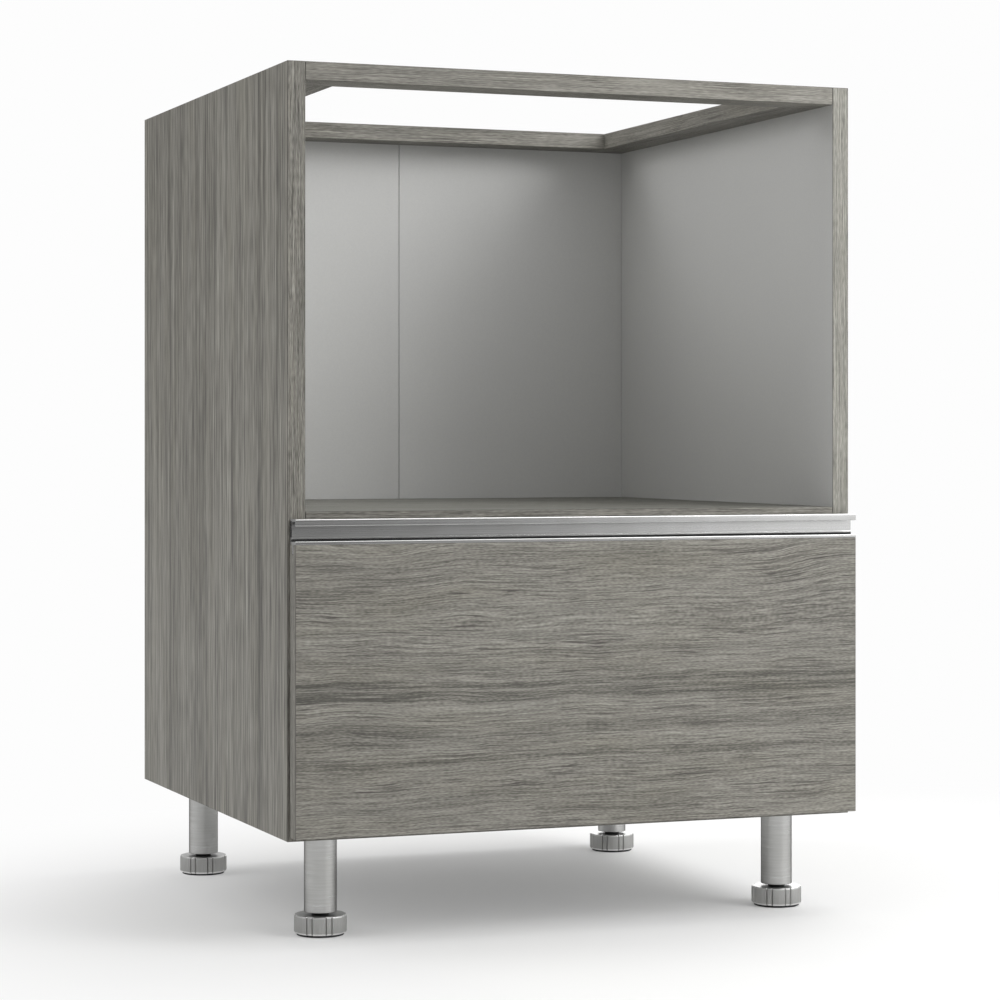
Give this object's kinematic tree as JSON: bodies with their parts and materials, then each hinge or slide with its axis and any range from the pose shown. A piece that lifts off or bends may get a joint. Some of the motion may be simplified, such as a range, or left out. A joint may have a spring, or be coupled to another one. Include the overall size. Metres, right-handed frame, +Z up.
{
  "type": "kitchen base cabinet with microwave niche and drawer",
  "caption": "Base unit with an open niche over one deep drawer, integrated grip profile, open-topped rail frame and round adjustable legs.",
  "frame": {"origin": "on the floor, under the middle of the closed cabinet's bounding box", "axes": "+X to the right of a person facing the front, +Y to the back, +Z up; the drawer opens towards -Y"},
  "size_m": [0.6, 0.568, 0.843],
  "materials": {
    "oak_laminate": "grey oak laminate, matt, with matching edge band",
    "grey_melamine": "light grey melamine, fine matt texture",
    "seam_tape": "matt adhesive foil tape",
    "satin_aluminium": "satin anodised, fine drawn lines",
    "zinc_steel": "bright zinc plate",
    "silicone": "translucent silicone",
    "black_nylon": "moulded, matt",
    "black_rubber": "matt"
  },
  "bodies": {
    "cabinet": {"side_panel_left": "oak_laminate", "side_panel_right": "oak_laminate", "bottom_panel": "oak_laminate", "niche_shelf": "oak_laminate", "top_rail_front": "oak_laminate", "top_rail_back": "oak_laminate", "top_rail_left": "oak_laminate", "top_rail_right": "oak_laminate", "back_panel_left": "grey_melamine", "back_panel_right": "grey_melamine", "back_seam_tape": "seam_tape", "runner_outer_left": "zinc_steel", "runner_outer_right": "zinc_steel", "leg_plate_front_left": "satin_aluminium", "leg_tube_front_left": "satin_aluminium", "leg_bush_front_left": "black_nylon", "leg_plate_front_right": "satin_aluminium", "leg_tube_front_right": "satin_aluminium", "leg_bush_front_right": "black_nylon", "leg_plate_back_left": "satin_aluminium", "leg_tube_back_left": "satin_aluminium", "leg_bush_back_left": "black_nylon", "leg_plate_back_right": "satin_aluminium", "leg_tube_back_right": "satin_aluminium", "leg_bush_back_right": "black_nylon"},
    "drawer": {"drawer_front": "oak_laminate", "handle_profile": "satin_aluminium", "front_bumper_left": "silicone", "front_bumper_right": "silicone", "front_screw_lower_left": "zinc_steel", "front_screw_lower_right": "zinc_steel", "front_screw_upper_left": "zinc_steel", "front_screw_upper_right": "zinc_steel", "drawer_side_left": "grey_melamine", "drawer_side_right": "grey_melamine", "drawer_inner_front": "grey_melamine", "drawer_back": "grey_melamine", "drawer_bottom": "grey_melamine", "runner_inner_left": "zinc_steel", "runner_inner_right": "zinc_steel"},
    "middle_member_left": {"runner_middle_left": "zinc_steel"},
    "outer_balls_left": {"ball_cage_outer_left": "zinc_steel"},
    "inner_balls_left": {"ball_cage_inner_left": "zinc_steel"},
    "middle_member_right": {"runner_middle_right": "zinc_steel"},
    "outer_balls_right": {"ball_cage_outer_right": "zinc_steel"},
    "inner_balls_right": {"ball_cage_inner_right": "zinc_steel"},
    "pad_front_left": {"foot_pad_front_left": "black_rubber"},
    "foot_front_left": {"foot_wheel_front_left": "satin_aluminium", "foot_spindle_front_left": "zinc_steel"},
    "pad_front_right": {"foot_pad_front_right": "black_rubber"},
    "foot_front_right": {"foot_wheel_front_right": "satin_aluminium", "foot_spindle_front_right": "zinc_steel"},
    "pad_back_left": {"foot_pad_back_left": "black_rubber"},
    "foot_back_left": {"foot_wheel_back_left": "satin_aluminium", "foot_spindle_back_left": "zinc_steel"},
    "pad_back_right": {"foot_pad_back_right": "black_rubber"},
    "foot_back_right": {"foot_wheel_back_right": "satin_aluminium", "foot_spindle_back_right": "zinc_steel"}
  },
  "joints": [
    {"name": "drawer_slide", "type": "slide", "parent": "cabinet", "child": "drawer", "axis": [0, -1, 0], "range_m": [0, 0.48]},
    {"name": "middle_member_left_slide", "type": "slide", "parent": "cabinet", "child": "middle_member_left", "axis": [0, -1, 0], "range_m": [0, 0.24]},
    {"name": "outer_balls_left_slide", "type": "slide", "parent": "cabinet", "child": "outer_balls_left", "axis": [0, -1, 0], "range_m": [0, 0.12]},
    {"name": "inner_balls_left_slide", "type": "slide", "parent": "cabinet", "child": "inner_balls_left", "axis": [0, -1, 0], "range_m": [0, 0.36]},
    {"name": "middle_member_right_slide", "type": "slide", "parent": "cabinet", "child": "middle_member_right", "axis": [0, -1, 0], "range_m": [0, 0.24]},
    {"name": "outer_balls_right_slide", "type": "slide", "parent": "cabinet", "child": "outer_balls_right", "axis": [0, -1, 0], "range_m": [0, 0.12]},
    {"name": "inner_balls_right_slide", "type": "slide", "parent": "cabinet", "child": "inner_balls_right", "axis": [0, -1, 0], "range_m": [0, 0.36]},
    {"name": "foot_height_front_left", "type": "slide", "parent": "cabinet", "child": "pad_front_left", "axis": [0, 0, -1], "range_m": [0, 0.02]},
    {"name": "foot_turn_front_left", "type": "hinge", "parent": "pad_front_left", "child": "foot_front_left", "pos_m": [-0.248, -0.204, 0.002], "axis": [0, 0, -1], "range_deg": [0, 3600]},
    {"name": "foot_height_front_right", "type": "slide", "parent": "cabinet", "child": "pad_front_right", "axis": [0, 0, -1], "range_m": [0, 0.02]},
    {"name": "foot_turn_front_right", "type": "hinge", "parent": "pad_front_right", "child": "foot_front_right", "pos_m": [0.248, -0.204, 0.002], "axis": [0, 0, -1], "range_deg": [0, 3600]},
    {"name": "foot_height_back_left", "type": "slide", "parent": "cabinet", "child": "pad_back_left", "axis": [0, 0, -1], "range_m": [0, 0.02]},
    {"name": "foot_turn_back_left", "type": "hinge", "parent": "pad_back_left", "child": "foot_back_left", "pos_m": [-0.248, 0.224, 0.002], "axis": [0, 0, -1], "range_deg": [0, 3600]},
    {"name": "foot_height_back_right", "type": "slide", "parent": "cabinet", "child": "pad_back_right", "axis": [0, 0, -1], "range_m": [0, 0.02]},
    {"name": "foot_turn_back_right", "type": "hinge", "parent": "pad_back_right", "child": "foot_back_right", "pos_m": [0.248, 0.224, 0.002], "axis": [0, 0, -1], "range_deg": [0, 3600]}
  ],
  "couplings": [
    {"joint": "middle_member_left_slide", "follows": "drawer_slide", "ratio": 0.5},
    {"joint": "outer_balls_left_slide", "follows": "drawer_slide", "ratio": 0.25},
    {"joint": "inner_balls_left_slide", "follows": "drawer_slide", "ratio": 0.75},
    {"joint": "middle_member_right_slide", "follows": "drawer_slide", "ratio": 0.5},
    {"joint": "outer_balls_right_slide", "follows": "drawer_slide", "ratio": 0.25},
    {"joint": "inner_balls_right_slide", "follows": "drawer_slide", "ratio": 0.75},
    {"joint": "foot_height_front_left", "follows": "foot_turn_front_left", "m_per_rad": 0.000318},
    {"joint": "foot_height_front_right", "follows": "foot_turn_front_right", "m_per_rad": 0.000318},
    {"joint": "foot_height_back_left", "follows": "foot_turn_back_left", "m_per_rad": 0.000318},
    {"joint": "foot_height_back_right", "follows": "foot_turn_back_right", "m_per_rad": 0.000318}
  ]
}
